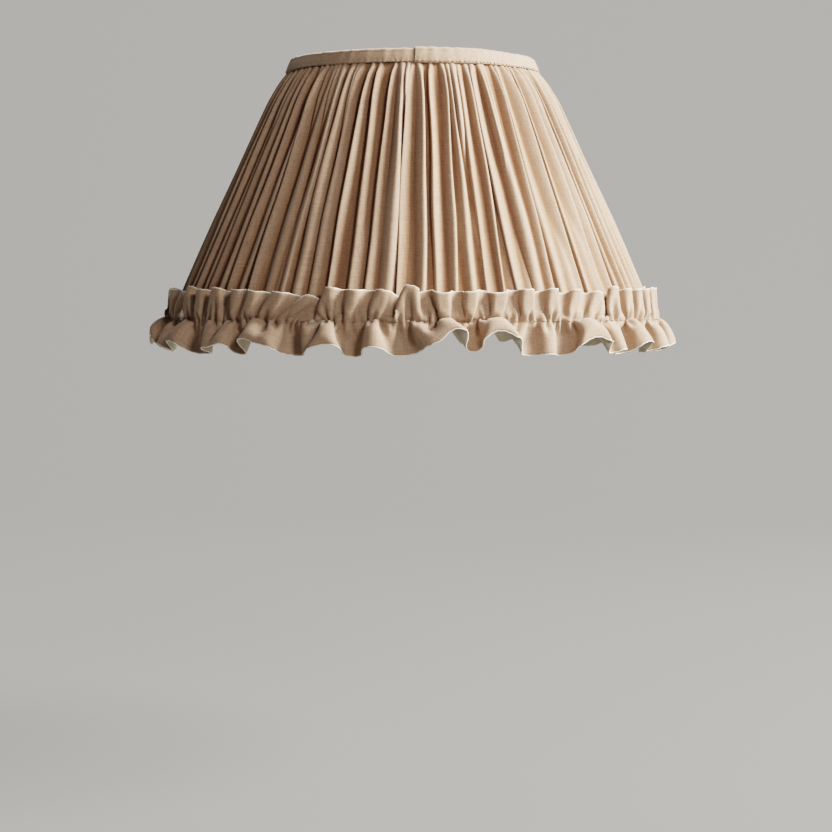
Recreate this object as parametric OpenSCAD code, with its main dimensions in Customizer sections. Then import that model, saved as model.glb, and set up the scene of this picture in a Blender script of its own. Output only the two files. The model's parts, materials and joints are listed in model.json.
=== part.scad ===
// Gathered empire lamp shade with a frilled hem.
// A welded wire frame carries a gathered cover, a lining, a bound top edge and a gathered frill.
// A tilting ring fitter near the hem seats on the lamp's holder.
// The origin is the centre of the fitter's bore. +Z is up and the tilt axis runs along X.

/* [Frame] */
// Diameter of the bottom ring, to the middle of its wire
bottom_ring_d = 292; // [285:1:300]
// Diameter of the top ring, to the middle of its wire
top_ring_d = 144; // [140:1:150]
// Height from the bottom ring to the top ring
frame_h = 158; // [150:1:165]
// Diameter of the ring wire
ring_wire = 3; // [2.6:0.1:3.4]
// Diameter of the strut wire
strut_wire = 2.5; // [2:0.1:3]
// Number of struts
strut_count = 8; // [6:2:12]
// Thickness of the cotton tape wound round the rings
tape = 0.4; // [0.3:0.05:0.5]

/* [Fitter] */
// Bore of the fitter plate, for a lamp holder with a 40 mm body
bore_d = 42; // [41:0.5:43]
// Outside diameter of the fitter plate
plate_d = 58; // [54:1:62]
// Thickness of the fitter plate
plate_t = 1.6; // [1.2:0.1:2]
// Height of the fitter plate above the bottom ring
fitter_rise = 14; // [13:0.5:16]
// Height of the tilt axis above the bottom ring
pivot_rise = 5; // [4.5:0.25:5.5]
// Diameter of the yoke arms' wire
arm_wire = 3; // [2.6:0.1:3.2]
// Diameter of the pivot rivets
rivet_d = 3; // [2.5:0.1:3.2]

/* [Fabric] */
// Height of the bound band round the top edge
band_h = 10; // [9:0.5:12]
// Height of the frill's heading above its gathering line
heading_h = 18; // [15:0.5:20]
// Drop of the frill below its gathering line
frill_drop = 17; // [14:0.5:19]
// Greatest radius of the frill
frill_r = 162; // [159:0.5:165]

/* [Hidden] */
$fn = 96;

STRUTS = [for (i = [1:strut_count]) str("strut_", i)];
SIDES = ["left", "right"];
HALVES = ["front", "back"];
PAIRED = ["yoke_arm_", "pivot_bracket_", "pivot_rivet_", "friction_washer_"];

bottom_r = bottom_ring_d / 2;
top_r = top_ring_d / 2;
ring_r = ring_wire / 2;
strut_r = strut_wire / 2;
bottom_z = -fitter_rise;
lean = (bottom_r - top_r) / frame_h;                 // inward run of the frame's side per unit of height
strut_half = strut_r * sqrt(1 + lean * lean);        // half the strut's width, measured level
strut_pitch = 360 / strut_count;
tape_gap = 0.05;
tape_r = ring_r + tape_gap + tape;                   // outside of the taped ring wire
cloth = 0.6;                                         // thickness of one layer of cloth
ease = 0.3;                                          // room between a layer and what it lies on
band_rise = 3.2;                                     // the band's top above the top ring's middle
band_low = frame_h + band_rise - band_h;             // height of the band's lower edge

// Fitter: everything here is about the tilt axis, at height pivot_z
pivot_z = bottom_z + pivot_rise;
bracket_t = 1.5;                                     // sheet thickness of the bracket
bracket_x = bottom_r - 11;                           // inner face of the bracket's upright
ear_gap = 11.6;                                      // between the bracket's two ears, which stop the tilt
ear_l = 5.5;                                         // length of an ear, inward from the upright
bracket_w = ear_gap + 2 * bracket_t;
bracket_top = pivot_z + 5;
foot_z = bottom_z - 1.2 - bracket_t;                 // underside of the bracket's foot
washer_t = 0.7;
side_play = 0.1;                                     // end play on each side of a washer or eye
eye_t = 1.5;                                         // thickness of the yoke arm's flattened end
eye_w = 8;
eye_low = 4;                                         // the eye's reach below the tilt axis
eye_high = 6.2;                                      // and above it
eye_x = bracket_x - washer_t - 2 * side_play - eye_t;
rivet_head_d = 5.2;
rivet_head_t = 1;
running = 0.05;                                      // radial clearance of the eye on its rivet
arm_end = [eye_x + 0.6, pivot_z + 4.4];              // where the arm's wire meets the eye, as [x, z]
arm_tip = [plate_d / 2 - 1, 0];                      // where it would end inside the plate's rim

// Rings and tape

module torus(r, wire) {
    rotate_extrude()
        translate([r, 0])
        circle(d = wire, $fn = 48);
}

module ring_at(z, r) {
    translate([0, 0, z]) torus(r, ring_wire);
}

module bottom_ring() {
    color("gainsboro") ring_at(bottom_z, bottom_r);
}

module top_ring() {
    color("gainsboro") ring_at(bottom_z + frame_h, top_r);
}

// A wire of radius r from one ring's middle to the other's, standing at an angle round the shade
module strut_rod(r, angle) {
    tilt = atan(lean);
    rotate([0, 0, angle])
        translate([bottom_r, 0, bottom_z])
        rotate([0, -tilt, 0])
        cylinder(r = r, h = frame_h / cos(tilt), $fn = 48);
}

function strut_angle(i) = (i - 0.5) * strut_pitch;

module strut(i) {
    color("gainsboro")
        difference() {
            strut_rod(strut_r, strut_angle(i));
            ring_at(bottom_z, bottom_r);
            ring_at(bottom_z + frame_h, top_r);
        }
}

module ring_tape(z, r) {
    translate([0, 0, z])
        rotate_extrude()
        translate([r, 0])
        difference() {
            circle(r = tape_r, $fn = 48);
            circle(r = ring_r + tape_gap, $fn = 48);
        }
}

// The tape parts round the struts' feet, and round the brackets if the ring carries them
module slit_tape(z, r, brackets) {
    color("ivory")
        difference() {
            ring_tape(z, r);
            for (i = [1:strut_count]) strut_rod(strut_r + tape_gap, strut_angle(i));
            if (brackets) bracket_slits();
        }
}

module bracket_slits() {
    for (side = [-1, 1])
        translate([side * bottom_r, 0, bottom_z])
            cube([24, bracket_w + 2 * ease, 6.6], center = true);
}

// Fitter: plate, yoke arms, brackets, rivets and washers

module fitter_plate() {
    color("gainsboro")
        translate([0, 0, -plate_t / 2])
        difference() {
            cylinder(d = plate_d, h = plate_t);
            translate([0, 0, -1]) cylinder(d = bore_d, h = plate_t + 2);
        }
}

module yoke_arm_shape() {
    run = arm_end - arm_tip;
    difference() {
        union() {
            translate([arm_tip[0], 0, arm_tip[1]])
                rotate([0, atan2(run[0], run[1]), 0])
                cylinder(d = arm_wire, h = norm(run), $fn = 48);
            translate([eye_x, -eye_w / 2, pivot_z - eye_low])
                cube([eye_t, eye_w, eye_low + eye_high]);
        }
        translate([eye_x - 1, 0, pivot_z])
            rotate([0, 90, 0])
            cylinder(r = rivet_d / 2 + running, h = eye_t + 2, $fn = 48);
        cylinder(d = plate_d, h = 2 * arm_wire, center = true);
    }
}

module bracket_shape() {
    ear_x = bracket_x - ear_l;
    difference() {
        union() {
            translate([bracket_x, -bracket_w / 2, foot_z])
                cube([bracket_t, bracket_w, bracket_top - foot_z]);
            translate([bracket_x, -bracket_w / 2, foot_z])
                cube([bottom_r - bracket_x, bracket_w, bracket_t]);
            for (y = [-bracket_w / 2, ear_gap / 2])
                translate([ear_x, y, foot_z])
                    cube([ear_l + bracket_t, bracket_t, bracket_top - foot_z]);
        }
        ring_at(bottom_z, bottom_r);
        translate([ear_x, 0, pivot_z])
            rotate([0, 90, 0])
            cylinder(d = rivet_d, h = ear_l + 3, $fn = 48);
    }
}

module rivet_shape() {
    head_x = eye_x - side_play - rivet_head_t;
    out_x = bracket_x + bracket_t;
    translate([head_x, 0, pivot_z])
        rotate([0, 90, 0]) {
            cylinder(d = rivet_head_d, h = rivet_head_t, $fn = 48);
            cylinder(d = rivet_d, h = out_x - head_x + rivet_head_t / 2, $fn = 48);
            translate([0, 0, out_x - head_x])
                cylinder(d = rivet_head_d, h = rivet_head_t, $fn = 48);
        }
}

module washer_shape() {
    translate([bracket_x - side_play - washer_t, 0, pivot_z])
        rotate([0, 90, 0])
        difference() {
            cylinder(d = 6.4, h = washer_t, $fn = 48);
            translate([0, 0, -1])
                cylinder(d = rivet_d + 0.2, h = washer_t + 2, $fn = 48);
        }
}

// Shapes are drawn on the right, +X, and turned half round for the left
module on_side(side) {
    rotate([0, 0, side == "left" ? 180 : 0]) children();
}

module yoke_arm(side) {
    color("gainsboro") on_side(side) yoke_arm_shape();
}

module pivot_bracket(side) {
    color("gainsboro") on_side(side) bracket_shape();
}

module pivot_rivet(side) {
    color("silver") on_side(side) rivet_shape();
}

module friction_washer(side) {
    color("silver") on_side(side) washer_shape();
}

// Cloth. Profiles are points [radius, height above the bottom ring], turned about Z.

function strut_line(h) = bottom_r - lean * h;
function inside_strut(h) = strut_line(h) - strut_half;
function outside_strut(h) = strut_line(h) + strut_half;

module turned(points, half = "both") {
    translate([0, 0, bottom_z])
        rotate([0, 0, half == "front" ? 180 : 0])
        rotate_extrude(angle = half == "both" ? 360 : 180)
        polygon(points);
}

// A thin wall: an inner line and the same line moved out, closed into an outline
function wall(line, thick) = concat(line, [for (i = [len(line) - 1:-1:0]) line[i] + [thick, 0]]);

// Lining: inside the struts, and tucked out under the bottom ring
lining_top_h = frame_h - tape_r - 1.4;
function lining_line() = [
    [bottom_r - tape_r - ease - cloth, -1],
    [bottom_r - tape_r - ease - cloth, 1],
    [inside_strut(3) - ease - cloth, 3],
    [inside_strut(lining_top_h) - ease - cloth, lining_top_h]
];
function lining_tuck() = [
    [bottom_r + 1, -tape_r - ease],
    [bottom_r, -tape_r - ease],
    [bottom_r - tape_r - ease, -1],
    [bottom_r - tape_r - ease - cloth, -1],
    [bottom_r - 1.2, -tape_r - ease - cloth],
    [bottom_r + 1, -tape_r - ease - cloth]
];

module lining(half) {
    color("floralwhite")
        difference() {
            union() {
                turned(wall(lining_line(), cloth), half);
                turned(lining_tuck(), half);
            }
            bracket_slits();
        }
}

// Cover: tight on both rings, puffed out by its gathers between them
hem_r = bottom_r + tape_r + 0.2;
neck_r = outside_strut(band_low) + ease;
// Height above the bottom ring, and how far the gathers stand off the struts there
puffs = [
    [8, 2.75],
    [20, 3],
    [frame_h - 28, 4.3],
    [frame_h - 23.5, 4.2],
    [frame_h - 19, 3.9],
    [frame_h - 14.5, 3.2],
    [frame_h - 11, 2.1]
];
cover_outer = concat(
    [
        [hem_r + 0.8, -2.2],
        [hem_r + 0.8, 0.6],
        [hem_r + 0.5, 2.6],
        [hem_r - 0.5, 5.4]
    ],
    [for (p = puffs) [outside_strut(p[0]) + p[1], p[0]]],
    [
        [neck_r + 1.1, band_low - 0.5],
        [top_r + tape_r + 1.3, frame_h]
    ]
);
cover_inner = [
    [top_r + tape_r + 0.3, frame_h],
    [outside_strut(frame_h - 6) + ease, frame_h - 6],
    [outside_strut(3) + ease, 3],
    [hem_r, 0.8],
    [hem_r, -2.2]
];

module cover(half) {
    color("tan") turned(concat(cover_outer, cover_inner), half);
}

// Top binding: a folded strip, up the outside, over the ring and down the inside
arch_r = top_r + 0.7;
band_inside = inside_strut(band_low + 1) - cloth - 2 * ease;
function arch(angles, rx, rz) = [for (a = angles) [arch_r + rx * cos(a), frame_h + rz * sin(a)]];
band_outer = concat(
    [[neck_r + 1.9, band_low]],
    arch([0:15:180], 3.4, band_rise),
    [[band_inside - 0.6, band_low + 1]]
);
band_inner = concat(
    [[band_inside - 0.1, band_low + 1]],
    arch([180:-15:0], 2.85, band_rise - 0.5),
    [[neck_r + 1.3, band_low]]
);

module top_binding() {
    color("tan") turned(concat(band_outer, band_inner));
}

module thread_ring(r, h, d) {
    color("linen") translate([0, 0, bottom_z + h]) torus(r, d);
}

module binding_stitches() {
    thread_ring(neck_r + 2.3, band_low + 0.2, 0.5);
}

// Frill: one strip gathered along a line on the bottom ring, its heading above and its frill below.
// The facing is the strip's inner layer, and the frill's solid is the room that its waves take.
line_r = hem_r + 1.1;
facing_line = [
    [line_r + 5.3, -frill_drop + 0.4],
    [line_r + 3.8, -12],
    [line_r + 1.3, -6],
    [line_r, 0],
    [line_r - 0.5, 6],
    [line_r - 0.6, heading_h - 0.4]
];
frill_inner = [
    [line_r + 6.3, -frill_drop],
    [line_r + 4.8, -12],
    [line_r + 2.3, -6],
    [line_r + 0.9, 0],
    [line_r + 0.4, 6],
    [line_r + 0.3, heading_h]
];
frill_outer = [
    [line_r + 2.6, heading_h],
    [line_r + 2.4, 10],
    [line_r + 1.6, 2],
    [line_r + 1.5, 0],
    [line_r + 5.5, -1],
    [frill_r - 0.6, -5],
    [frill_r, -9],
    [frill_r - 1.5, -13],
    [line_r + 9.5, -frill_drop]
];

module frill() {
    color("tan") turned(concat(frill_inner, frill_outer));
}

module frill_facing() {
    color("floralwhite") turned(wall(facing_line, cloth));
}

module gathering_stitches() {
    thread_ring(line_r + 1.85, 0.4, 0.5);
}

module heading_edge_thread() {
    thread_ring(line_r + 1.4, heading_h + 0.4, 0.7);
}

module frill_edge_thread() {
    thread_ring(line_r + 10.15, -frill_drop + 0.4, 0.7);
}

top_ring();
bottom_ring();
slit_tape(bottom_z + frame_h, top_r, false);  // top_ring_tape
slit_tape(bottom_z, bottom_r, true);  // bottom_ring_tape
for (i = [1:strut_count])
    strut(i);
fitter_plate();
for (side = SIDES) {
    yoke_arm(side);
    pivot_bracket(side);
    pivot_rivet(side);
    friction_washer(side);
}
for (half = HALVES) {
    lining(half);
    cover(half);
}
top_binding();
binding_stitches();
frill();
frill_facing();
gathering_stitches();
heading_edge_thread();
frill_edge_thread();
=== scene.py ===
"""A gathered empire lamp shade with a frilled hem, dressed around its wire frame and fitter.

Lengths inside the shape functions are in millimetres and are turned to metres as each mesh is made.
Places round the shade are angles from the front, growing towards the right-hand side (+X).
Heights above the bottom ring are called h.
"""

import json
import math

import bpy
import numpy as np
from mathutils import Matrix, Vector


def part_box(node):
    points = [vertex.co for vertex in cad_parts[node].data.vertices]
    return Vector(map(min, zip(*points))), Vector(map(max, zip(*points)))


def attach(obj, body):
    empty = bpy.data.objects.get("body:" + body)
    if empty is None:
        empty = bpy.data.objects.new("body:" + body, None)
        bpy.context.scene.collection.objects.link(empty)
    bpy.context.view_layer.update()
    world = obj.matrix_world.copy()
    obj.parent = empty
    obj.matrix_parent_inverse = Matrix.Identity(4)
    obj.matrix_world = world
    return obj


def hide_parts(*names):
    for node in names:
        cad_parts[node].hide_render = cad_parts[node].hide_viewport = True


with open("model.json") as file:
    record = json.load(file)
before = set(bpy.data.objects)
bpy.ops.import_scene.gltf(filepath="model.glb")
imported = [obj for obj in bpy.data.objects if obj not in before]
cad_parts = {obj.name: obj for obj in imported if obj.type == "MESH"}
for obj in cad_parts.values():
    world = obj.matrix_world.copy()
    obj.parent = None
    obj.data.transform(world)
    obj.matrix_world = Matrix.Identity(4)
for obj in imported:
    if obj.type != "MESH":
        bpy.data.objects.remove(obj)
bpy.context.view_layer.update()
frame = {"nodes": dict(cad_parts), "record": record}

MM = 0.001
TURN = 2 * math.pi


# The frame's dimensions in mm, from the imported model


def ring_size(node):
    """Radius to the wire's middle, height and wire thickness of a ring, in mm."""
    low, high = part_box(node)
    wire = (high[2] - low[2]) / MM
    return high[0] / MM - wire / 2, (low[2] + high[2]) / 2 / MM, wire


BOTTOM_R, BOTTOM_Z, RING_WIRE = ring_size("bottom_ring")
TOP_R, TOP_Z, _ = ring_size("top_ring")
FRAME_H = TOP_Z - BOTTOM_Z
LEAN = (BOTTOM_R - TOP_R) / FRAME_H
STRUT_HALF = 1.38  # half a strut's thickness, measured level
TAPE_R = RING_WIRE / 2 + 0.45  # a ring's wire with its tape on
BAND_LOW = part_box("top_binding")[0][2] / MM - BOTTOM_Z
BAND_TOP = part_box("top_binding")[1][2] / MM - BOTTOM_Z
LINE_R = BOTTOM_R + TAPE_R + 1.3  # the frill's gathering line


def strut_line(h):
    """Radius of the struts' middle line at height h."""
    return BOTTOM_R - LEAN * np.asarray(h, float)


def smooth(x, low, high):
    """0 at low and before it, 1 at high and past it, and a smooth step between. low may be the
    greater of the two."""
    t = np.clip((np.asarray(x, float) - low) / (high - low), 0, 1)
    return t * t * (3 - 2 * t)


def around(radius, angle, h):
    """Points in the CAD's own frame, in mm, from radius, angle from the front and height."""
    radius, angle, h = np.broadcast_arrays(radius, angle, h)
    return np.stack([radius * np.sin(angle), -radius * np.cos(angle), h + BOTTOM_Z], axis=-1)


def ripple(rng, where, waves, size):
    """A smooth random line that closes on itself round the shade, with fewest to most waves, given
    as the pair waves. size is about how far it strays."""
    total = np.zeros_like(np.asarray(where, float))
    counts = range(waves[0], waves[1] + 1)
    for n in counts:
        a, b = rng.normal(size=2)
        total = total + a * np.sin(n * where) + b * np.cos(n * where)
    return size * total / math.sqrt(len(counts))


def unit(v):
    """The vectors v, each made one long."""
    return v / np.linalg.norm(v, axis=-1, keepdims=True)


# Meshes


def new_object(name, data):
    """Puts data in the scene as an object."""
    thing = bpy.data.objects.new(name, data)
    bpy.context.scene.collection.objects.link(thing)
    return thing


def sheet_mesh(name, points, flat, material, closed=False, fold=None):
    """A grid of quads from points[row, column] in mm. flat[row, column] is where each point lay in
    the cut cloth, in mm, and is kept on the mesh for the weave to follow. fold[row, column] is 0 on
    the crests and 1 at the bottom of the folds, and sets where the cloth's material paints shade."""
    rows, columns = points.shape[:2]
    index = np.arange(rows * columns).reshape(rows, columns)
    right = np.roll(index, -1, axis=1) if closed else index[:, 1:]
    left = index if closed else index[:, :-1]
    quads = np.stack([left[:-1], right[:-1], right[1:], left[1:]], axis=-1).reshape(-1, 4)
    mesh = bpy.data.meshes.new(name)
    mesh.from_pydata((points.reshape(-1, 3) * MM).tolist(), [], quads.tolist())
    cloth = mesh.attributes.new("cloth", "FLOAT_VECTOR", "POINT")
    cut = np.zeros((rows * columns, 3), np.float32)
    cut[:, :2] = flat.reshape(-1, 2) * MM
    cloth.data.foreach_set("vector", cut.ravel())
    if fold is not None:
        depth = mesh.attributes.new("fold", "FLOAT", "POINT")
        depth.data.foreach_set("value", fold.astype(np.float32).ravel())
    mesh.shade_smooth()
    mesh.materials.append(material)
    return new_object(name, mesh)


def thicken(piece, thickness, side):
    """Gives a sheet its thickness in mm. side is -1 to grow inwards, 1 outwards, 0 both ways."""
    solid = piece.modifiers.new("thickness", "SOLIDIFY")
    solid.thickness = thickness * MM
    solid.offset = side
    solid.use_even_offset = False
    solid.use_rim = True


def thread_loop(name, path, radius, material):
    """A closed loop of thread along path, a list of points in mm."""
    curve = bpy.data.curves.new(name, "CURVE")
    curve.dimensions = "3D"
    spline = curve.splines.new("POLY")
    spline.points.add(len(path) - 1)
    spline.points.foreach_set("co", np.column_stack([path * MM, np.ones(len(path))]).ravel())
    spline.use_cyclic_u = True
    curve.bevel_depth = radius * MM
    curve.bevel_resolution = 1
    curve.materials.append(material)
    return new_object(name, curve)


STITCH_ARCH = 1.6  # how far a stitch rises, in thread radii


def stitches_mesh(name, middles, along, out, long, radius, material):
    """Short stitches, each an arched run of thread over the cloth, thinner where its ends go in.
    middles are in mm, and along and out are each stitch's unit directions."""
    bend = np.radians(np.linspace(0, 180, 7))
    ring = np.radians(np.arange(0, 360, 60))
    across = np.cross(along, out)
    points = []
    for turn in bend:
        rise = radius * STITCH_ARCH * math.sin(turn) - radius
        spine = middles - along * (long / 2 * math.cos(turn)) + out * rise
        thick = radius * (0.75 + 0.25 * math.sin(turn))
        for a in ring:
            points.append(spine + thick * (out * math.cos(a) + across * math.sin(a)))
    grid = np.stack(points, axis=1)
    count = len(bend) * len(ring)
    steps, sides = np.meshgrid(np.arange(len(bend) - 1), np.arange(len(ring)), indexing="ij")
    here = steps * len(ring) + sides
    beside = steps * len(ring) + (sides + 1) % len(ring)
    quads = np.stack([here, beside, beside + len(ring), here + len(ring)], axis=-1).reshape(-1, 4)
    every = (quads[None] + np.arange(len(middles))[:, None, None] * count).reshape(-1, 4)
    mesh = bpy.data.meshes.new(name)
    mesh.from_pydata((grid.reshape(-1, 3) * MM).tolist(), [], every.tolist())
    mesh.shade_smooth()
    mesh.materials.append(material)
    return new_object(name, mesh)


# Materials


class Nodes:
    """Short hand for building one material's nodes."""

    def __init__(self, name):
        """A new material with only its shader and output."""
        self.material = bpy.data.materials.new(name)
        self.material.use_nodes = True
        self.tree = self.material.node_tree
        self.tree.nodes.clear()
        self.shader = self.add("ShaderNodeBsdfPrincipled")
        out = self.add("ShaderNodeOutputMaterial")
        self.link(self.shader.outputs[0], out.inputs["Surface"])

    def add(self, kind, **settings):
        """A new node with these settings."""
        node = self.tree.nodes.new(kind)
        for key, value in settings.items():
            setattr(node, key, value)
        return node

    def link(self, source, target):
        """Joins an output to an input."""
        self.tree.links.new(source, target)

    def set(self, **values):
        """Sets the shader's own sockets. A _ in a name stands for a space."""
        for key, value in values.items():
            self.shader.inputs[key.replace("_", " ")].default_value = value

    def place(self, scale):
        """The cut cloth's own coordinates, stretched by scale."""
        cloth = self.add("ShaderNodeAttribute", attribute_name="cloth")
        mapping = self.add("ShaderNodeMapping")
        mapping.inputs["Scale"].default_value = scale
        self.link(cloth.outputs["Vector"], mapping.inputs["Vector"])
        return mapping.outputs["Vector"]

    def here(self, scale):
        """The scene's own coordinates, stretched by scale."""
        point = self.add("ShaderNodeNewGeometry")
        mapping = self.add("ShaderNodeMapping")
        mapping.inputs["Scale"].default_value = scale
        self.link(point.outputs["Position"], mapping.inputs["Vector"])
        return mapping.outputs["Vector"]

    def noise(self, vector, detail=2.0, roughness=0.5):
        """Noise at vector, about 0.5 on average."""
        node = self.add("ShaderNodeTexNoise")
        node.inputs["Scale"].default_value = 1.0
        node.inputs["Detail"].default_value = detail
        node.inputs["Roughness"].default_value = roughness
        self.link(vector, node.inputs["Vector"])
        return node.outputs["Fac"]

    def math(self, operation, a, b):
        """The result of an operation on a and b, each a number or an output."""
        node = self.add("ShaderNodeMath", operation=operation)
        for socket, value in zip(node.inputs, (a, b)):
            if isinstance(value, (int, float)):
                socket.default_value = value
            else:
                self.link(value, socket)
        return node.outputs[0]

    def spread(self, value, middle, reach):
        """0 where value is reach below its middle, and 1 where it is reach above."""
        node = self.add("ShaderNodeMapRange")
        node.inputs["From Min"].default_value = middle - reach
        node.inputs["From Max"].default_value = middle + reach
        self.link(value, node.inputs["Value"])
        return node.outputs["Result"]

    def ramp(self, factor, stops):
        """Colours by factor. stops are pairs of position and colour."""
        node = self.add("ShaderNodeValToRGB")
        while len(node.color_ramp.elements) < len(stops):
            node.color_ramp.elements.new(0.5)
        for element, (position, colour) in zip(node.color_ramp.elements, stops):
            element.position = position
            element.color = (*colour, 1.0)
        self.link(factor, node.inputs["Fac"])
        return node.outputs["Color"]

    def mix(self, factor, a, b, blend="MIX"):
        """Two colours mixed. factor, a and b are each a value or an output."""
        node = self.add("ShaderNodeMix", data_type="RGBA", blend_type=blend)
        for name, value in (("Factor", factor), ("A", a), ("B", b)):
            socket = node.inputs[name]
            if isinstance(value, (int, float)):
                socket.default_value = value
            elif isinstance(value, tuple):
                socket.default_value = (*value, 1.0)
            else:
                self.link(value, socket)
        return node.outputs["Result"]

    def bump(self, height, distance, strength=1.0):
        """Gives the shader a relief of the given distance in mm."""
        node = self.add("ShaderNodeBump")
        node.inputs["Distance"].default_value = distance * MM
        node.inputs["Strength"].default_value = strength
        self.link(height, node.inputs["Height"])
        self.link(node.outputs["Normal"], self.shader.inputs["Normal"])


# painted shade: the cloth's colour at the bottom of a fold is multiplied by this, darker and redder
FOLD_PAINTED_SHADE = (0.75, 0.615, 0.515)  # what the bottom of a fold keeps of the cloth's colour
SLUBS_ACROSS = 1100.0  # changes in a metre, across a thread and along it
SLUBS_ALONG = 110.0
FLECKS = 1000.0  # flecks in a metre
TONE_MIDDLE = 1.2  # the middle and half the range of the sum that sets a cloth's tone
TONE_REACH = 0.45


def weave(n, pitch):
    """Heights of a plain weave with the given thread pitch in mm: over and under, and slubs."""
    threads = n.place((math.pi / (pitch * MM), math.pi / (pitch * MM), 1.0))
    split = n.add("ShaderNodeSeparateXYZ")
    n.link(threads, split.inputs[0])
    along = n.math("SINE", split.outputs["X"], 0.0)
    across = n.math("SINE", split.outputs["Y"], 0.0)
    over = n.math("MULTIPLY", along, across)
    slub_warp = n.noise(n.place((SLUBS_ACROSS, SLUBS_ALONG, 1.0)), 1.0)
    slub_weft = n.noise(n.place((SLUBS_ALONG, SLUBS_ACROSS, 1.0)), 1.0)
    slubs = n.math("ADD", slub_warp, slub_weft)
    return over, slubs


def cloth_material(name, dark, light, pitch=0.42, relief=0.05, sheen=0.35):
    """Plain-woven cloth. Its colour runs from dark to light by slubs, flecks and faint broad patches,
    with painted shade, deeper and redder, at the bottom of folds.
    pitch and relief are in mm."""
    n = Nodes(name)
    over, slubs = weave(n, pitch)
    broad = n.noise(n.here((14.0, 14.0, 9.0)), 3.0)
    fleck = n.noise(n.place((FLECKS, FLECKS, 1.0)), 3.0, 0.65)
    tone = n.math("ADD", n.math("MULTIPLY", slubs, 0.5), n.math("MULTIPLY", broad, 0.4))
    tone = n.math("ADD", tone, n.math("MULTIPLY", over, 0.04))
    tone = n.math("ADD", tone, fleck)
    colour = n.ramp(n.spread(tone, TONE_MIDDLE, TONE_REACH), [(0.0, dark), (1.0, light)])
    # painted shade: the colour is made deeper and redder towards the bottom of a fold, standing in
    # for light that has bounced off cloth on its way there
    fold = n.add("ShaderNodeAttribute", attribute_name="fold")
    painted_fold_shade = n.mix(fold.outputs["Fac"], (1.0, 1.0, 1.0), FOLD_PAINTED_SHADE)
    colour = n.mix(1.0, colour, painted_fold_shade, "MULTIPLY")
    n.link(colour, n.shader.inputs["Base Color"])
    height = n.math("ADD", n.math("MULTIPLY", over, 0.45), n.math("ADD", slubs, fleck))
    n.bump(height, relief)
    n.set(Roughness=0.82, Sheen_Weight=sheen, Sheen_Roughness=0.45, Specular_IOR_Level=0.25)
    n.shader.inputs["Sheen Tint"].default_value = (1.0, 0.93, 0.85, 1.0)
    return n.material


def thread_material(name, colour):
    """Spun thread: fine cross ridges and a slight variation of colour."""
    n = Nodes(name)
    grain = n.noise(n.here((2500.0, 2500.0, 2500.0)), 2.0)
    darker = tuple(c * 0.82 for c in colour)
    n.link(n.ramp(grain, [(0.35, darker), (0.65, colour)]), n.shader.inputs["Base Color"])
    n.bump(grain, 0.08)
    n.set(Roughness=0.75, Sheen_Weight=0.4, Specular_IOR_Level=0.3)
    return n.material


def coated_steel(name, colour):
    """White powder coat: a fine orange-peel skin and a little wear."""
    n = Nodes(name)
    peel = n.noise(n.here((1500.0, 1500.0, 1500.0)), 2.0)
    worn = n.noise(n.here((90.0, 90.0, 90.0)), 4.0)
    n.link(
        n.ramp(worn, [(0.3, tuple(c * 0.86 for c in colour)), (0.6, colour)]),
        n.shader.inputs["Base Color"],
    )
    rough = n.add("ShaderNodeMapRange")
    rough.inputs["To Min"].default_value = 0.32
    rough.inputs["To Max"].default_value = 0.5
    n.link(worn, rough.inputs["Value"])
    n.link(rough.outputs["Result"], n.shader.inputs["Roughness"])
    n.bump(peel, 0.03, 0.6)
    n.set(Specular_IOR_Level=0.5, Coat_Weight=0.15)
    return n.material


def zinc_steel(name):
    """Zinc-plated steel: satin, with a faint spangle."""
    n = Nodes(name)
    spangle = n.noise(n.here((700.0, 700.0, 700.0)), 3.0)
    n.link(
        n.ramp(spangle, [(0.3, (0.42, 0.42, 0.41)), (0.7, (0.62, 0.61, 0.58))]),
        n.shader.inputs["Base Color"],
    )
    n.bump(spangle, 0.02, 0.5)
    n.set(Metallic=1.0, Roughness=0.36)
    return n.material


SHADE_CLOTH = cloth_material("shade_cloth", (0.22, 0.153, 0.11), (0.45, 0.311, 0.222))
FACING_CLOTH = cloth_material(
    "facing_cloth", (0.36, 0.315, 0.245), (0.54, 0.47, 0.365), pitch=0.5, relief=0.04, sheen=0.2
)
LINING_CLOTH = cloth_material(
    "lining_cloth", (0.68, 0.63, 0.54), (0.84, 0.79, 0.70), pitch=0.3, relief=0.02, sheen=0.5
)
TAPE_CLOTH = cloth_material(
    "ring_tape", (0.62, 0.58, 0.50), (0.80, 0.76, 0.68), pitch=0.4, relief=0.06, sheen=0.2
)
SEWING_THREAD = thread_material("sewing_thread", (0.30, 0.205, 0.145))
EDGE_THREAD = thread_material("edge_thread", (0.80, 0.73, 0.62))
FRAME_STEEL = coated_steel("frame_steel", (0.80, 0.80, 0.78))
RIVET_STEEL = zinc_steel("rivet_steel")


# Cover: one gathered sheet for each half, drawn as ridges that run from the band to the hem

COVER_SEED = 11
RIDGES_TOP = 116  # under the band
RIDGES_LOST = 28  # die out on the way down
CREASES = 34  # small ridges that start on the way down
COVER_HIGH = BAND_LOW + 1.0
COVER_LOW = -1.5
COLUMN_GAP = 0.44
ROW_GAP = 3.0
CLOSE_ROWS_FROM = 128.0
CLOSE_ROW_GAP = 1.2
RIDGE_BLEND = 0.38  # over how many mm neighbouring ridges run into each other
COVER_GAP = 0.3  # between the struts' outer line and the cloth
GROUND = 0.15  # how far the bottoms of the folds stand out from there
FADED = 0.25  # what is left of a ridge that has died out
NO_RIDGE = -30.0  # deep enough that the ridge has no part in the blend
# how far the crests stand out, by height
PUFF_H = [0, 4, 8, 20, 60, 100, 130, 134.5, 139, 143.5, 147, BAND_LOW, 152]
PUFF = [1.6, 2.8, 3.4, 4.1, 5.2, 5.5, 5.4, 5.1, 4.5, 3.8, 2.9, 1.6, 1.2]


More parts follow.
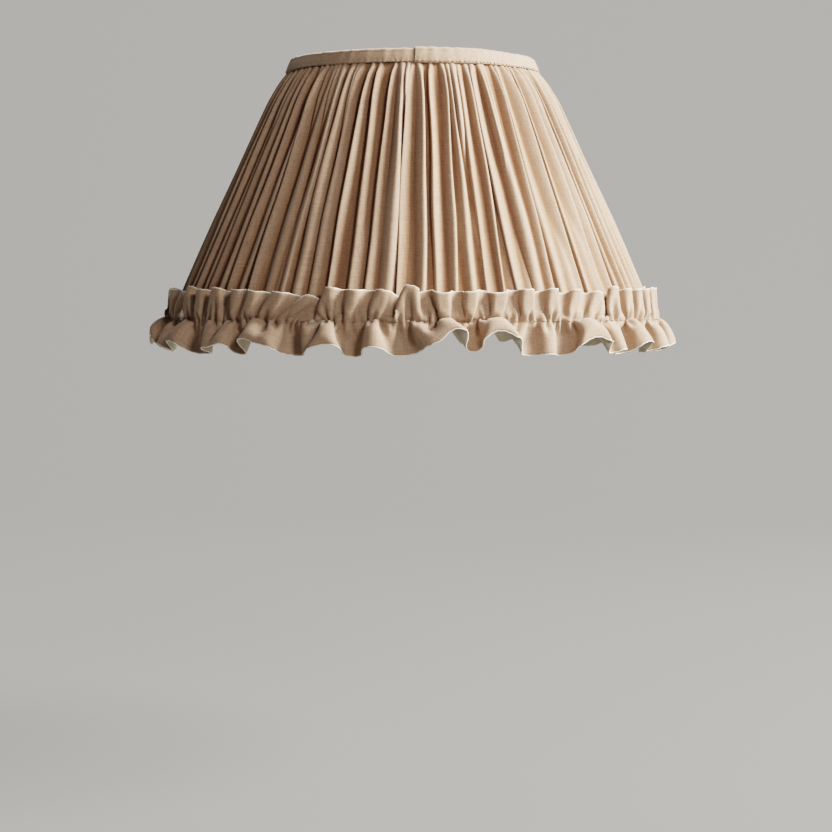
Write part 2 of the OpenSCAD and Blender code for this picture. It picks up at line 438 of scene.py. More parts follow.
def ridge_lines(rng):
    """Where each ridge starts under the band, where it meets the hem, and which ones die out."""
    gaps = rng.lognormal(0.0, 0.38, RIDGES_TOP)
    top = np.cumsum(gaps) / gaps.sum() * TURN
    order = np.argsort(gaps + np.roll(gaps, -1))
    lost = np.zeros(RIDGES_TOP, bool)
    for k in order:
        near = [(k - 1) % RIDGES_TOP, (k + 1) % RIDGES_TOP]
        if lost.sum() < RIDGES_LOST and not lost[near].any():
            lost[k] = True
    kept = np.flatnonzero(~lost)
    spans = np.diff(np.append(top[kept], top[kept][0] + TURN))
    even = np.full(len(kept), TURN / len(kept))
    # the ridges that are left spread out to more even gaps by the hem
    spans = 0.55 * spans + 0.45 * even
    hem = np.cumsum(spans)
    hem = hem - spans[0]
    hem += (top[kept] - hem).mean()
    known_top = np.concatenate([top[kept] - TURN, top[kept], top[kept] + TURN])
    known_hem = np.concatenate([hem - TURN, hem, hem + TURN])
    low = np.interp(top, known_top, known_hem)
    return top, low, lost


def cover_ridges(rng):
    """Each ridge's own numbers, with those of the creases after those of the full ridges."""
    top, low, lost = ridge_lines(rng)
    count = len(top)
    every = count + CREASES
    start = rng.uniform(0, TURN, CREASES)
    # the ridge's angle at the band and at the hem
    top = np.concatenate([top, start])
    low = np.concatenate([low, start + rng.normal(0, 0.004, CREASES)])
    # how round its crest is, in mm: three kinds at the hem, sharp, middling and broad
    crest_top = np.concatenate([rng.uniform(2.2, 4.8, count), np.full(CREASES, 3.0)])
    kinds = rng.choice([1.5, 3.6, 7.0], count, p=[0.35, 0.4, 0.25]) * rng.uniform(0.8, 1.25, count)
    crest_low = np.concatenate([kinds, np.full(CREASES, 2.0)])
    # how steep its sides are, how far it leans over sideways, and its height as a share of the puff
    slope = np.concatenate([rng.uniform(3.0, 4.6, count), rng.uniform(0.9, 1.4, CREASES)])
    lean = np.concatenate([rng.normal(0, 0.38, count), rng.normal(0, 0.2, CREASES)])
    tall = np.concatenate([rng.uniform(0.7, 1.1, count), rng.uniform(0.35, 0.7, CREASES)])
    # the height where it dies out on its way down, and the one where it starts: both out of reach
    # where it runs right through
    dies = np.concatenate([lost, np.zeros(CREASES, bool)])
    ends = np.where(dies, rng.uniform(55, 115, every), -60.0)
    begins = np.concatenate([np.full(count, 400.0), rng.uniform(15, 70, CREASES)])
    return {
        "top": top,
        "low": low,
        "crest_top": crest_top,
        "crest_low": crest_low,
        "slope": slope,
        "lean": lean,
        "tall": tall,
        "ends": ends,
        "begins": begins,
        "wander": rng.uniform(0, TURN, (every, 3)),
    }


def cover_surface(ridge, angle, h):
    """Radius and sideways shift in mm, and depth of fold, of the cover at angle[column] and h[row].
    At each height the ridges are joined by a smooth maximum of their outlines."""
    line = strut_line(h) + STRUT_HALF
    puff = np.interp(h, PUFF_H, PUFF)
    # 0 at the hem and the band, where the cloth is held tight, and 1 between them
    loose = smooth(h, COVER_LOW, 9.0) * (1 - smooth(h, 145.0, BAND_LOW + 0.5))
    out = np.zeros((len(h), len(angle)))
    side = np.zeros_like(out)
    for row, height in enumerate(h):
        t = (height - COVER_LOW) / (COVER_HIGH - COVER_LOW)
        place = ridge["low"] + (ridge["top"] - ridge["low"]) * t
        w = ridge["wander"]
        sway = 0.45 * np.sin(height / 31 + w[:, 0]) + 0.25 * np.sin(height / 13 + w[:, 1])
        place = place + sway * (0.35 + 0.65 * np.sin(math.pi * np.clip(t, 0, 1))) / line[row]
        grow = smooth(t, 0.1, 0.95)
        crest = ridge["crest_low"] + (ridge["crest_top"] - ridge["crest_low"]) * grow
        life = smooth(height, ridge["ends"], ridge["ends"] + 45)
        life = life * (1 - smooth(height, ridge["begins"] - 10, ridge["begins"] + 25))
        tall = puff[row] * ridge["tall"] * (1 + 0.06 * np.sin(height / 19 + w[:, 2]))
        tall = FADED + (tall - FADED) * life
        x = (angle[None, :] - place[:, None] + math.pi) % TURN - math.pi
        x = x * line[row]
        # the sides are steeper higher up, and less so again just under the band
        steeper = 0.8 + 0.9 * smooth(height, 60, 130)
        flatter = 1 - 0.55 * smooth(height, 138, 152)
        slope = ridge["slope"] * steeper * flatter
        fall = slope[:, None] * (np.sqrt(x**2 + crest[:, None] ** 2) - crest[:, None])
        lift = np.where(life[:, None] > 0.01, tall[:, None] - fall, NO_RIDGE)
        weight = np.exp(np.clip(lift / RIDGE_BLEND, -80, 80))
        total = weight.sum(axis=0) + math.exp(GROUND / RIDGE_BLEND)
        out[row] = RIDGE_BLEND * np.log(total)
        side[row] = (weight * ridge["lean"][:, None]).sum(axis=0) / total * out[row]
    radius = line[:, None] + COVER_GAP + out - COVER_GAP * (1 - loose[:, None])
    fold = 1 - smooth(out / puff[:, None], 0.1, 0.9)
    return radius, side * loose[:, None], fold


def cover_rows():
    """Heights of the cover's rows, closer together under the band."""
    low = np.arange(COVER_LOW, CLOSE_ROWS_FROM, ROW_GAP)
    high = np.arange(CLOSE_ROWS_FROM, COVER_HIGH + 0.01, CLOSE_ROW_GAP)
    return np.concatenate([low, high])


def make_cover(ridge, half, middle):
    """One half of the cover. middle is the angle at its middle."""
    h = cover_rows()
    columns = int(math.pi * BOTTOM_R / COLUMN_GAP)
    angle = middle + np.linspace(-math.pi / 2, math.pi / 2, columns)
    radius, side, fold = cover_surface(ridge, angle, h)
    # the hem is drawn in against the bottom ring's tape
    tuck = smooth(h, 3.0, COVER_LOW)[:, None]
    hem_r = BOTTOM_R + TAPE_R + 0.55
    radius = radius * (1 - tuck) + hem_r * tuck
    # the ridges don't lean across the side seams
    edge = smooth(np.abs(angle - middle), math.pi / 2, math.pi / 2 - 0.02)
    points = around(radius, angle[None, :] + side * edge / radius, h[:, None])
    across = np.linalg.norm(np.diff(points, axis=1), axis=2).mean(axis=0)
    u = np.concatenate([[0.0], np.cumsum(across)])
    v = (h - h[0]) * math.sqrt(1 + LEAN**2)
    flat = np.stack(np.broadcast_arrays(u[None, :], v[:, None]), axis=-1)
    piece = sheet_mesh(f"cover_{half}_cloth", points, flat, material=SHADE_CLOTH, fold=fold)
    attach(piece, "shade")
    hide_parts(f"cover_{half}")


RIDGES = cover_ridges(np.random.default_rng(COVER_SEED))
make_cover(RIDGES, "front", 0.0)
make_cover(RIDGES, "back", math.pi)


# Top binding: a bias strip folded over the top edge, its end lapped at the front

BINDING_SEED = 5
STITCH_SEED = 9
LAP_AT = 0.02  # the angle of the lapped end's fold
LAP_LONG = 9.0
BAND_EDGE_R = float(strut_line(BAND_LOW)) + STRUT_HALF + 1.9
BAND_ARCH_R = TOP_R + 0.7  # the middle of the arch over the top edge, and half its width
BAND_HALF = 3.3
BAND_THICK = 0.35
TURNED_IN = 7.0  # how much of the lapped end is turned in
END_FOLD_R = 0.35
END_COLUMNS = 10
FOLD_COLUMNS = 7
ROUND_COLUMNS = 900
TURNED_LIFT = 0.42  # how far the turned-in end and the lap over it stand off the strip's section
LAP_LIFT = 0.80
BIAS = 0.707  # the strip is cut on the bias, so its threads run at 45 degrees to it
STITCH_ROW = 4  # the row of the strip, just above its lower edge, that the stitches follow
STITCH_GAP = 2.6
STITCH_LONG = 1.2
STITCH_R = 0.22


def band_section():
    """Radius and height along the strip's width: the edge that is turned in below, the outside, the
    arch over the top edge, and the inside."""
    bend = np.radians(np.linspace(0, 180, 15))
    rise = BAND_TOP - FRAME_H
    lower = np.linspace(0, 1, 12)[:-1]
    start = np.array([BAND_EDGE_R, BAND_LOW + 0.2])
    foot = np.array([BAND_ARCH_R + BAND_HALF, FRAME_H])
    outer = start + (foot - start) * lower[:, None]
    outer[:, 0] += 0.35 * np.sin(math.pi * lower)
    arch_r = BAND_ARCH_R + BAND_HALF * np.cos(bend)
    arch = np.stack([arch_r, FRAME_H + (rise - 1.2) * np.sin(bend)], axis=1)
    inside = float(strut_line(BAND_LOW + 1)) - STRUT_HALF - 1.5
    inner = np.linspace(arch[-1], [inside, BAND_LOW + 1.2], 9)[1:]
    turned = np.array([
        [BAND_EDGE_R - 0.75, BAND_LOW + 1.6],
        [BAND_EDGE_R - 0.6, BAND_LOW + 0.5],
        [BAND_EDGE_R - 0.25, BAND_LOW + 0.05],
    ])
    return np.concatenate([turned, outer, arch, inner])


def make_binding():
    """The bias strip: once round the top edge, its folded first end lapped over its last."""
    section = band_section()
    out = np.gradient(section, axis=0)
    out = np.stack([out[:, 1], -out[:, 0]], axis=1)
    out /= np.linalg.norm(out, axis=1)[:, None]
    fold = np.radians(np.linspace(-90, 90, FOLD_COLUMNS))
    lap = LAP_LONG / BAND_EDGE_R
    # along the strip: its turned-in end, the fold there, once round, and the part under the lap
    angle = np.concatenate([
        LAP_AT + np.linspace(TURNED_IN, 0.6, END_COLUMNS) / BAND_EDGE_R,
        LAP_AT + (END_FOLD_R - END_FOLD_R * np.cos(fold)) / BAND_EDGE_R,
        LAP_AT + np.linspace(0.8 / BAND_EDGE_R, TURN + lap, ROUND_COLUMNS),
    ])
    past_fold = np.linspace(0, TURN + lap, ROUND_COLUMNS)
    raised = np.concatenate([
        np.full(END_COLUMNS, TURNED_LIFT),
        TURNED_LIFT + 0.19 * (1 + np.sin(fold)),
        np.interp(past_fold, [0, 0.13, 0.9], [LAP_LIFT, 0.78, 0.0]),
    ])
    rng = np.random.default_rng(BINDING_SEED)
    wave = ripple(rng, angle, (20, 90), 0.07) + ripple(rng, angle, (2, 7), 0.10)
    along = np.arange(len(section)) / (len(section) - 1)
    # small puckers where the stitches pull at the strip, near its lower edge
    beat = np.sin(angle * 140 + 1.5 * np.sin(angle * 9))
    puckers = 0.10 * beat * np.exp(-((along[:, None] - 0.1) / 0.09) ** 2)
    lift = raised[None, :] + wave[None, :] * (0.4 + np.sin(math.pi * along))[:, None] + puckers
    r = section[:, 0][:, None] + out[:, 0][:, None] * lift
    z = section[:, 1][:, None] + out[:, 1][:, None] * lift
    # the strip's cross lines lean a little, and so does its folded end
    slant = (section[:, 1] - FRAME_H)[:, None] * 0.06 / BAND_EDGE_R
    z = z + ripple(rng, angle, (3, 12), 0.10)[None, :]
    points = around(r, angle[None, :] + slant, z)
    width = np.concatenate([[0], np.cumsum(np.linalg.norm(np.diff(section, axis=0), axis=1))])
    s = np.concatenate([[0], np.cumsum(np.abs(np.diff(angle)))]) * BAND_EDGE_R
    warp = (s[None, :] + width[:, None]) * BIAS
    weft = (s[None, :] - width[:, None]) * BIAS
    flat = np.stack([warp, weft], axis=-1)
    piece = sheet_mesh("top_binding_cloth", points, flat, material=SHADE_CLOTH)
    thicken(piece, BAND_THICK, -1)
    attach(piece, "shade")
    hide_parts("top_binding")
    return points


def make_binding_stitches(points):
    """Slip stitches along the strip's lower edge, one every STITCH_GAP mm."""
    rng = np.random.default_rng(STITCH_SEED)
    edge = points[STITCH_ROW, END_COLUMNS + FOLD_COLUMNS + 1:]
    step = np.linalg.norm(np.diff(edge, axis=0), axis=1)
    s = np.concatenate([[0], np.cumsum(step)])
    at = np.arange(1.0, s[-1], STITCH_GAP)
    at = at + rng.normal(0, 0.18, len(at))
    middles = np.stack([np.interp(at, s, edge[:, k]) for k in range(3)], axis=1)
    out = unit(middles * (1, 1, 0))
    up = np.array([0, 0, 1.0])
    along = unit(np.cross(out, up) + up * rng.normal(0.25, 0.15, len(at))[:, None])
    middles = middles + out * 0.1
    piece = stitches_mesh(
        "binding_stitches_sewn", middles, along, out, STITCH_LONG, STITCH_R, SEWING_THREAD
    )
    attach(piece, "shade")
    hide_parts("binding_stitches")


make_binding_stitches(make_binding())


# Frill: a gathered strip. It starts as waves drawn above and below its gathering line, and then
# settles like cloth: see settle_frill.

FRILL_SEED = 33
HEADING = 18.9
DROP = 19.6
FULLNESS = 1.50
FRILL_THICK = 0.28
FRILL_STEP = 1.4
FRILL_LONG = TURN * LINE_R * FULLNESS
COLUMNS = int(FRILL_LONG / FRILL_STEP)
GATHER = 7.0  # mean length of cloth in one small gather, one wave and one fold of a wave, in mm
HEADING_WAVE = 34.0
HEADING_FOLD = 14.0
FRILL_WAVE = 74.0
FRILL_FOLD = 24.0
HEADING_SPREAD = 0.70  # how uneven the waves' lengths are
FRILL_SPREAD = 0.45
HEADING_LEAN = 0.25  # how far the waves lean over sideways
FRILL_LEAN = 0.18
FLARE = 14.0
SETTLE_STEPS = 150
SETTLE_PASSES = 6
KEPT_SPEED = 0.9
EASE = 0.42
SAG = 0.004  # the pull of gravity in one step, in mm
RAISE = 0.018  # how strongly some of the lobes turn up
STIFF_FROM = 1.5  # how far from the line the cloth starts to resist bending
APART = 1.15  # between the middle layers of two folds that touch
OUTER_H = [-12, 0, 3, 6, 20]
OUTER_R = [163.0, 163.5, 158.0, LINE_R + 2.6, LINE_R + 1.9]
EDGE_RADIUS = 0.38
LINE_STITCH_LONG = 2.0
LINE_STITCH_R = 0.24


def wave_starts(rng, mean, spread):
    """Columns at which one wave of the strip ends and the next begins."""
    count = round(FRILL_LONG / mean)
    long = np.clip(rng.lognormal(0.0, spread, count), 0.45, 1.9)
    return np.round(np.concatenate([[0], np.cumsum(long) / long.sum()]) * COLUMNS).astype(int)


def gather_swing(rng):
    """The small gathers' swing along the strip: about one every GATHER mm, unevenly."""
    place = np.arange(COLUMNS) / COLUMNS * TURN
    beat = place * round(FRILL_LONG / GATHER) + ripple(rng, place, (20, 70), 1.6)
    return np.sin(beat) * (1 + ripple(rng, place, (30, 120), 0.25))


def meander(swing, pitch):
    """A path along and out for cloth whose direction swings to and fro. Its length is kept, and
    the size of the swing is found by halving, so that the path spans the given pitch."""
    low, high = 0.0, 3.0
    for _ in range(20):
        k = (low + high) / 2
        if np.cos(k * swing).sum() * FRILL_STEP > pitch:
            low = k
        else:
            high = k
    along = np.concatenate([[0.0], np.cumsum(np.cos(k * swing))])
    out = np.concatenate([[0.0], np.cumsum(np.sin(k * swing))]) * FRILL_STEP
    along = along / along[-1] * pitch
    out = out - np.linspace(0, out[-1], len(out))
    return along[:-1], out[:-1]


def strip_side(rng, distances, starts, small, fold_long, lean, flare):
    """Angle and radius of the strip's rows on one side of its line, at distances from it."""
    share = np.linspace(math.pi, 3 * math.pi, COLUMNS + 1)
    tilt = rng.normal(0, lean, len(starts) - 1)
    wave_long = np.diff(starts) * FRILL_STEP
    folds = np.maximum(np.round(wave_long / fold_long), 1)
    inner = rng.uniform(0.5, 1.3, len(folds)) * (folds > 1)
    turn = rng.uniform(0, TURN, len(folds))
    angle = np.zeros((len(distances), COLUMNS))
    radius = np.zeros_like(angle)
    for row, t in enumerate(distances):
        grow = float(smooth(t, 0.0, 10.0))
        tight = math.exp(-((t / 5.0) ** 2))
        girth_r = LINE_R + flare * grow * 0.5
        for wave, (first, last) in enumerate(zip(starts[:-1], starts[1:])):
            x = (np.arange(first, last) + 0.5 - first) / (last - first)
            fold = np.sin(TURN * x) + inner[wave] * np.sin(folds[wave] * TURN * x + turn[wave])
            swing = (0.10 + 0.9 * grow) * fold + tight * small[first:last]
            along, out = meander(swing, (share[last] - share[first]) * girth_r)
            angle[row, first:last] = share[first] + (along + tilt[wave] * out) / girth_r
            radius[row, first:last] = LINE_R + out
    return angle, radius


def frill_start(rng):
    """The strip before it settles: its points in mm, where they lay in the flat strip, its line's
    row, and how much each column's lobe turns up."""
    up = np.arange(0, HEADING + 0.1, FRILL_STEP)
    down = np.arange(0, DROP + 0.1, FRILL_STEP)
    small = gather_swing(rng)
    waves = wave_starts(rng, HEADING_WAVE, HEADING_SPREAD)
    up_angle, up_r = strip_side(rng, up, waves, small, HEADING_FOLD, HEADING_LEAN, 0.0)
    waves = wave_starts(rng, FRILL_WAVE, FRILL_SPREAD)
    down_angle, down_r = strip_side(rng, down, waves, small, FRILL_FOLD, FRILL_LEAN, FLARE)
    place = np.arange(COLUMNS) / COLUMNS * TURN
    lift = smooth(ripple(rng, place, (5, 22), 1.0), 0.1, 1.3)
    # the heading leans in as the cover does, and the frill stands out
    up_r += np.interp(up, [0, 6, 12, HEADING], [0.0, -1.0, -3.0, -5.4])[:, None]
    down_r += np.interp(down, [0, 6, DROP], [0.0, 1.4, 5.0])[:, None]
    angle = np.concatenate([down_angle[:0:-1], up_angle])
    radius = np.concatenate([down_r[:0:-1], up_r])
    line = len(down) - 1
    # each row is one step of cloth from the last, so it is nearer in height where the radius changes
    h = np.zeros_like(radius)
    for row in range(line + 1, len(radius)):
        gone = np.clip((radius[row] - radius[row - 1]) / FRILL_STEP, -0.9, 0.9)
        h[row] = h[row - 1] + FRILL_STEP * np.sqrt(1 - gone**2)
    for row in range(line - 1, -1, -1):
        gone = np.clip((radius[row] - radius[row + 1]) / FRILL_STEP, -0.95, 0.95)
        h[row] = h[row + 1] - FRILL_STEP * np.sqrt(1 - gone**2)
    s = np.arange(COLUMNS) * FRILL_STEP
    t = (np.arange(len(radius)) - line) * FRILL_STEP
    flat = np.stack(np.broadcast_arrays(s[None, :], t[:, None]), axis=-1)
    return around(radius, angle, h), flat, line, lift


def cover_limit(h):
    """The least radius of the strip at height h: clear of the cover's ridges and of the hem."""
    ridges = strut_line(np.maximum(h, 0.0)) + STRUT_HALF + np.interp(h, PUFF_H, PUFF) + 0.7
    beside = np.maximum(ridges, np.where(h < 4, LINE_R - 0.6, 0))
    return np.where(h > -3.0, beside, BOTTOM_R + 2.0)


def outer_limit(h):
    """The radius at height h past which the strip is pressed back. It holds the heading against
    the cover."""
    return np.interp(h, OUTER_H, OUTER_R)


def near_pairs(p, reach, columns):
    """Pairs of points closer than reach that aren't neighbours in the cloth, found by sorting the
    points into cells of that size."""
    cell = np.floor(p / reach).astype(np.int64)
    cell -= cell.min(axis=0) - 1
    size = cell.max(axis=0) + 2
    key = (cell[:, 0] * size[1] + cell[:, 1]) * size[2] + cell[:, 2]
    order = np.argsort(key, kind="stable")
    keys = key[order]
    found = []
    # a cell and the half of its neighbours that come after it, so that each pair of cells is met once
    steps = [(x, y, z) for x in (-1, 0, 1) for y in (-1, 0, 1) for z in (-1, 0, 1)]
    for x, y, z in steps[len(steps) // 2:]:
        want = key + (x * size[1] + y) * size[2] + z
        first = np.searchsorted(keys, want, "left")
        last = np.searchsorted(keys, want, "right")
        for extra in range(6):
            there = np.flatnonzero(first + extra < last)
            if not len(there):
                break
            found.append(np.stack([there, order[first[there] + extra]], axis=1))
    pairs = np.concatenate(found)
    row, column = np.divmod(pairs, columns)
    apart = np.abs(column[:, 0] - column[:, 1])
    apart = np.minimum(apart, columns - apart)
    strangers = (apart > 2) | (np.abs(row[:, 0] - row[:, 1]) > 2)
    close = np.linalg.norm(p[pairs[:, 0]] - p[pairs[:, 1]], axis=1) < reach
    return pairs[strangers & close & (pairs[:, 0] != pairs[:, 1])]


def keep_apart(p, pairs, reach):
    """How far each point moves so that the pairs stand reach apart."""
    gap = p[pairs[:, 1]] - p[pairs[:, 0]]
    size = np.linalg.norm(gap, axis=1, keepdims=True) + 1e-9
    push = 0.5 * gap / size * np.maximum(reach - size, 0)
    move = np.zeros_like(p)
    for axis in range(3):
        onward = np.bincount(pairs[:, 1], push[:, axis], len(p))
        back = np.bincount(pairs[:, 0], push[:, axis], len(p))
        move[:, axis] = onward - back
    return move


def frill_ties(t):
    """The pulls between the strip's points. Each is how many rows and columns it spans, its length
    at rest and its strength. t is each row's distance above the line."""
    # the lower edge was stretched a little as it was sewn
    long = FRILL_STEP * (1 + 0.04 * smooth(-t, 7, DROP))[:, None, None]
    slant = FRILL_STEP * math.sqrt(2)
    upright = (0.30 + 0.5 * (t > 0))[:, None, None]
    stiff = smooth(np.abs(t), STIFF_FROM, 9.0)[:, None, None]
    return [
        (0, 1, long, 1.0),
        (1, 0, FRILL_STEP, 1.0),
        (1, 1, slant, 0.22),
        (1, -1, slant, 0.22),
        (0, 2, 2 * long, 0.03 + 0.13 * stiff),
        (0, 4, 4 * long, 0.05 * stiff),
        (0, 8, 8 * long, 0.010 * stiff),
        (2, 0, 2 * FRILL_STEP, upright),
        (4, 0, 4 * FRILL_STEP, 0.4 * upright),
        (8, 0, 8 * FRILL_STEP, 0.2 * upright),
    ]


def first_rows(value, count):
    """The first count rows of a value that differs by row, or the value itself if it doesn't."""
    return value[:count] if isinstance(value, np.ndarray) else value


def tie_pulls(p, ties, line):
    """How far the ties move each point. The long ones resist bending, so they only push, and those
    along a column don't reach over the line."""
    row = np.arange(len(p))
    move = np.zeros_like(p)
    for down, over, rest, strength in ties:
        count = len(p) - down
        rest = first_rows(rest, count)
        gap = np.roll(p[down:], -over, axis=1) - p[:count]
        size = np.sqrt((gap * gap).sum(axis=2, keepdims=True)) + 1e-9
        give = first_rows(strength, count) * 0.5 * (1 - rest / size) * gap
        if down > 1:
            low = row[:count]
            give[(low < line) & (low + down > line)] = 0
        if down > 1 or over > 1:
            give = np.where(size < rest, give, 0)
        move[:count] += give
        move[down:] -= np.roll(give, over, axis=1)
    return move


def hold_in(p, free):
    """Brings free points back between the cover and the outer limit, which gives way a little."""
    r = np.hypot(p[..., 0], p[..., 1])
    h = p[..., 2] - BOTTOM_Z
    outer = outer_limit(h)
    held = np.clip(r, cover_limit(h), outer + 0.75 * np.maximum(r - outer, 0))
    ease = 1 + (held / r - 1) * (free[..., 0] > 0.5)
    p[..., 0] *= ease
    p[..., 1] *= ease


def settle_frill(points, line, lift):
    """Lets the strip find its own shape. It keeps its length both ways, resists bending, hangs from
    its gathered line, and stays off the cover and off itself. Each pass moves every point by the
    sum of its pulls, eased so that they settle."""
    p = points.copy()
    before = p.copy()
    t = (np.arange(len(p)) - line) * FRILL_STEP
    free = np.ones((len(p), 1, 1))
    free[line] = 0
    free[[line - 1, line + 1]] = 0.15
    pull = smooth(-t, 3, DROP)[:, None] * lift
    ties = frill_ties(t)
    for _ in range(SETTLE_STEPS):
        speed = (p - before) * KEPT_SPEED
        before = p.copy()
        p = p + speed * free
        p[..., 2] += free[..., 0] * (RAISE * pull - SAG)
        p[..., :2] *= 1 + (RAISE * pull / BOTTOM_R)[..., None]
        pairs = near_pairs(p.reshape(-1, 3), APART * 1.3, COLUMNS)
        for _ in range(SETTLE_PASSES):
            move = tie_pulls(p, ties, line)
            move += keep_apart(p.reshape(-1, 3), pairs, APART).reshape(p.shape)
            p = p + move * EASE * free
            hold_in(p, free)
    return p


def make_frill(points, flat):
    """The strip's two layers, the shade's cloth outside and the facing inside, back to back."""
    front = sheet_mesh("frill_cloth", points, flat, closed=True, material=SHADE_CLOTH)
    back = sheet_mesh("frill_facing_cloth", points, flat, closed=True, material=FACING_CLOTH)
    layers = ((front, 1, "frill", "shade_cloth"), (back, -1, "frill_facing", "facing_cloth"))
    for piece, side, node, slot in layers:
        thicken(piece, FRILL_THICK, side)
        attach(piece, "shade")
        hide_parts(node)


def make_edge_thread(node, edge, inside, seed):
    """The overlocked edge: thread wound over the cloth's edge. inside is the next row of points."""
    rng = np.random.default_rng(seed)
    place = np.arange(len(edge)) / len(edge) * TURN
    fray = ripple(rng, place, (200, 420), 0.10)[:, None]
    path = edge + unit(inside - edge) * (0.12 + fray)
    piece = thread_loop(node + "_sewn", path, EDGE_RADIUS, EDGE_THREAD)
    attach(piece, "shade")
    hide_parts(node)


def make_gathering_stitches(points, line):
    """The gathering thread shows as a short stitch over each outer pucker of the line."""
    row = points[line]
    r = np.hypot(row[:, 0], row[:, 1])
    crest = np.flatnonzero((r > np.roll(r, 1)) & (r >= np.roll(r, -1)))
    out = unit(row[crest] * (1, 1, 0))
    along = unit(row[(crest + 1) % len(row)] - row[crest - 1])
    middles = row[crest] + out * 0.42
    piece = stitches_mesh(
        "gathering_stitches_sewn", middles, along, out, LINE_STITCH_LONG, LINE_STITCH_R, SEWING_THREAD
    )
    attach(piece, "shade")
    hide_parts("gathering_stitches")


drawn, cut, line_row, lobes = frill_start(np.random.default_rng(FRILL_SEED))
settled = settle_frill(drawn, line_row, lobes)
make_frill(settled, cut)
make_edge_thread("heading_edge_thread", settled[-1], settled[-2], seed=19)
make_edge_thread("frill_edge_thread", settled[0], settled[1], seed=17)
make_gathering_stitches(settled, line_row)


# Lining

LINING_SEED = 3
SLIT_EASE = 0.6
LINING_GAP = 0.6  # between the lining and the struts
LINING_TOP = FRAME_H - 3.4
LINING_ROW_GAP = 4.0
LINING_COLUMNS = 720
STRUTS = 8
# heights of the turned-up hem's rows, and their distance out from the bottom ring's middle
HEM_H = [-2.6, -2.4, -1.6, -0.6, 0.6, 1.8]
HEM_OUT = [0.6, -1.0, -2.2, -2.6, -2.65, -2.8]


def slit(angle):
    """How far up the lining is slit, in mm, where each pivot bracket passes through it."""
    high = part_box("pivot_bracket_right")[1]
    wide = high[1] / MM + SLIT_EASE
    deep = high[2] / MM - BOTTOM_Z + SLIT_EASE
    across = np.abs(np.cos(angle)) * BOTTOM_R
    return deep * (1 - smooth(across, wide, wide + 0.8))


def make_lining(half, middle):
    """One half of the lining, turned under the bottom ring, with slight puckers at both edges and a
    faint rise over each strut."""
    h = np.concatenate([HEM_H, [3.0], np.arange(6.0, LINING_TOP, LINING_ROW_GAP), [LINING_TOP]])
    inner = strut_line(h) - STRUT_HALF - LINING_GAP
    inner[: len(HEM_OUT)] = BOTTOM_R + np.array(HEM_OUT)
    angle = middle + np.linspace(-math.pi / 2, math.pi / 2, LINING_COLUMNS)
    rng = np.random.default_rng(LINING_SEED)
    low_pull = ripple(rng, angle, (30, 90), 0.30)[None, :] * np.exp(-h / 16)[:, None]
    top_pull = ripple(rng, angle, (40, 110), 0.30)[None, :] * np.exp((h - FRAME_H) / 22)[:, None]
    at_strut = np.exp(-((np.sin(angle * STRUTS / 2) / 0.10) ** 2))
    between = np.sin(math.pi * np.clip(h / FRAME_H, 0, 1))
    struts = 0.35 * at_strut[None, :] * between[:, None]
    radius = inner[:, None] - (np.abs(low_pull + top_pull) + struts) * smooth(h, 2, 5)[:, None]
    # at a bracket the rows below the slit's top are drawn up to it
    start = slit(angle)[None, :]
    raised = np.maximum(h[:, None], np.where(start > 0.01, start, h[0]))
    shift = np.where(h[:, None] < start, strut_line(raised) - STRUT_HALF - LINING_GAP - radius, 0)
    points = around(radius + shift, angle[None, :], raised)
    u = (angle - angle[0]) * (BOTTOM_R + TOP_R) / 2
    flat = np.stack(np.broadcast_arrays(u[None, :], h[:, None]), axis=-1)
    piece = sheet_mesh(f"lining_{half}_cloth", points, flat, material=LINING_CLOTH)
    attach(piece, "shade")
    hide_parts(f"lining_{half}")


make_lining("front", 0.0)
make_lining("back", math.pi)


# The CAD's own parts that stay: wire, tapes, rivets and washers

SLOT_MATERIALS = {
    "frame_steel": FRAME_STEEL,
    "rivet_steel": RIVET_STEEL,
    "ring_tape": TAPE_CLOTH,
    "sewing_thread": SEWING_THREAD,
    "edge_thread": EDGE_THREAD,
}


def dress_cad():
    """Gives each CAD node the better material for its slot."""
    slots = {part["node"]: part["material_slot"] for part in frame["record"]["subparts"]}
    for name, node in frame["nodes"].items():
        material = SLOT_MATERIALS.get(slots.get(name))
        if material:
            for place in node.material_slots:
                place.material = material


dress_cad()


# Stage, lights and camera

# Lengths here are in metres. The floor is where the lamp's own foot would stand.
FLOOR_Z = -0.293
FLOOR_FRONT = -2.6
FLOOR_BACK = 1.5
FLOOR_HALF = 4.0
CURVE_R = 0.9
CURVE_STEPS = 12
BACKDROP_HIGH = 3.2
AIM_Z = 0.05
EYE = (0.0021, -1.4375, 0.004)
LOOK_DOWN = 3.155
LENS = 99.5


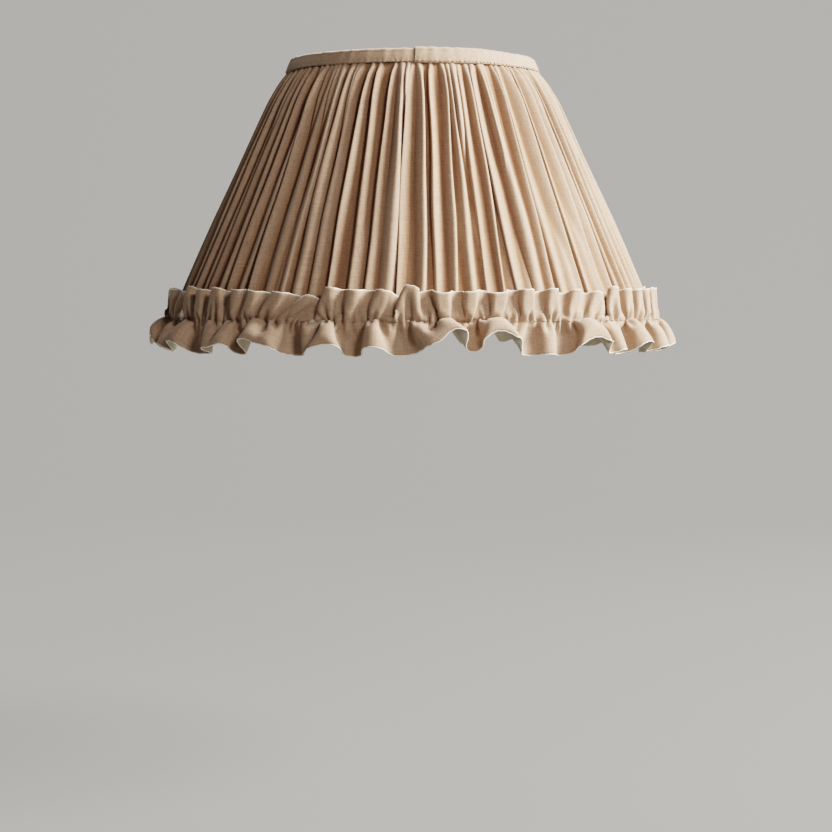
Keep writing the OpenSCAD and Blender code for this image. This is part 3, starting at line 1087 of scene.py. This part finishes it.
def make_stage():
    """A pale floor that curves up into a backdrop."""
    profile = [(FLOOR_FRONT, 0.0)]
    for step in range(CURVE_STEPS + 1):
        turn = math.radians(step * 90 / CURVE_STEPS)
        profile.append((FLOOR_BACK + CURVE_R * math.sin(turn), CURVE_R - CURVE_R * math.cos(turn)))
    profile.append((FLOOR_BACK + CURVE_R, BACKDROP_HIGH))
    points = [[(x, y, FLOOR_Z + z) for x in (-FLOOR_HALF, FLOOR_HALF)] for y, z in profile]
    grid = np.array(points) / MM
    flat = np.zeros((len(profile), 2, 2))
    n = Nodes("floor")
    n.set(Roughness=0.9, Specular_IOR_Level=0.1)
    n.shader.inputs["Base Color"].default_value = (0.05, 0.049, 0.046, 1.0)
    n.shader.inputs["Emission Color"].default_value = (0.98, 0.965, 0.925, 1.0)
    n.shader.inputs["Emission Strength"].default_value = 0.285
    floor = sheet_mesh("floor", grid, flat, material=n.material)


def area_light(name, azimuth, elevation, distance, size, power, colour):
    """A round light aimed at the shade's middle. Azimuth is from the front towards the right."""
    light = bpy.data.lights.new(name, "AREA")
    light.shape = "DISK"
    light.size = size
    light.energy = power
    light.color = colour
    lamp = new_object(name, light)
    a = math.radians(azimuth)
    e = math.radians(elevation)
    out = np.array([math.sin(a) * math.cos(e), -math.cos(a) * math.cos(e), math.sin(e)])
    lamp.location = out * distance + np.array([0, 0, AIM_Z])
    lamp.rotation_euler = (math.pi / 2 - e, 0, a)


def make_lights():
    """A large key light at the right, a small fill near the camera, and a dim warm room."""
    area_light("key", 83, 30, distance=2.0, size=1.2, power=148, colour=(1.0, 0.97, 0.93))
    area_light("fill", 25, 22, distance=2.4, size=0.5, power=22, colour=(1.0, 0.97, 0.94))
    world = bpy.data.worlds.new("room")
    world.use_nodes = True
    background = world.node_tree.nodes["Background"]
    background.inputs["Color"].default_value = (1.0, 0.95, 0.90, 1.0)
    background.inputs["Strength"].default_value = 0.075
    bpy.context.scene.world = world


def make_camera():
    """The photograph's view: from the front, about level with the hem and looking slightly down."""
    camera = bpy.data.cameras.new("camera")
    camera.lens = LENS
    camera.sensor_width = 36
    eye = new_object("camera", camera)
    eye.location = EYE
    eye.rotation_euler = (math.radians(90 - LOOK_DOWN), 0, 0)
    bpy.context.scene.camera = eye


make_stage()
make_lights()
make_camera()
bpy.context.scene.view_settings.view_transform = "Filmic"
bpy.context.scene.view_settings.look = "High Contrast"
bpy.context.scene.view_settings.exposure = 0.3
